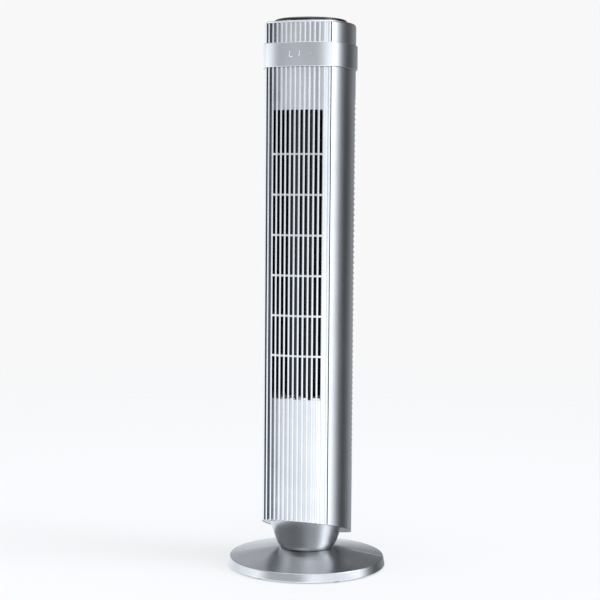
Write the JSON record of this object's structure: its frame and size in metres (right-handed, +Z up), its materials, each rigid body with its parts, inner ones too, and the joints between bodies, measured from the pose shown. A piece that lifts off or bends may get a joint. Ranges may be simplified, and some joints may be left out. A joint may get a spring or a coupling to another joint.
{
  "type": "tower fan",
  "caption": "Slim upright column fan with a ribbed slotted front, slatted rear intake, display collar and touch top, turning on a round weighted base.",
  "frame": {"origin": "on the floor under the centre of the round base, on the column's turning axis", "axes": "+Z up along the turning axis, -Y towards the front grille at rest, +X to the fan's left-hand side seen from the front, right-handed"},
  "size_m": [0.3, 0.3, 1.0335],
  "materials": {
    "silver_shell": "satin metallic silver paint over moulded plastic",
    "silver_inner": "dark grey moulded plastic",
    "black_gloss": "glossy black touch panel",
    "black_plastic": "black moulded plastic",
    "rubber": "matt",
    "steel": "zinc plated",
    "bronze": "sintered bronze",
    "copper": "enamelled copper windings",
    "acetal": "natural acetal",
    "board": "green solder mask",
    "lens": "lit light guide",
    "film_capacitor": "moulded box"
  },
  "bodies": {
    "base": {"base_front": "silver_shell", "base_rear": "silver_shell", "ballast_ring": "steel", "base_feet": "rubber", "base_screws": "steel", "swivel_spindle": "steel", "spindle_screws": "steel", "slip_washer": "acetal", "fixed_gear": "acetal", "retaining_ring": "steel"},
    "column": {"neck_cone": "silver_shell", "swivel_bush": "acetal", "swivel_plate": "steel", "osc_bracket": "steel", "osc_motor": "steel", "bottom_cover": "silver_shell", "neck_screws": "steel", "front_shell": "silver_shell", "grille_stay": "silver_inner", "rear_shell": "silver_shell", "rear_grille": "silver_shell", "collar_band": "silver_shell", "display_light_guide": "lens", "display_board": "board", "display_leds": "acetal", "ir_receiver": "black_plastic", "top_cap": "silver_shell", "touch_panel": "black_gloss", "control_board": "board", "touch_springs": "steel", "buzzer": "black_plastic", "air_scroll": "silver_inner", "vortex_tongue": "silver_inner", "motor_deck": "silver_inner", "deck_screws": "steel", "motor_mounts": "rubber", "motor_case_lower": "steel", "motor_case_upper": "steel", "motor_screws": "steel", "stator_core": "steel", "stator_windings": "copper", "motor_bushes": "bronze", "upper_deck": "silver_inner", "top_bush": "bronze", "power_board": "board", "motor_capacitor": "film_capacitor", "terminal_block": "acetal", "cord_gland": "black_plastic", "wiring_loom": "black_plastic"},
    "blower": {"blower_wheel": "black_plastic", "motor_shaft": "steel", "motor_rotor": "steel", "wheel_hub": "rubber", "top_stub_shaft": "steel"},
    "pinion": {"pinion": "acetal", "pinion_shaft": "steel"}
  },
  "joints": [
    {"name": "oscillation", "type": "hinge", "parent": "base", "child": "column", "pos_m": [0, 0, 0.0357], "axis": [0, 0, 1], "range_deg": [-30, 50]},
    {"name": "blower_spin", "type": "hinge", "parent": "column", "child": "blower", "pos_m": [0, 0.004, 0.33], "axis": [0, 0, 1], "continuous": true},
    {"name": "pinion_spin", "type": "hinge", "parent": "column", "child": "pinion", "pos_m": [0, -0.0396, 0.045], "axis": [0, 0, 1], "range_deg": [-95, 155]}
  ],
  "couplings": [
    {"joint": "pinion_spin", "follows": "oscillation", "ratio": 3}
  ]
}
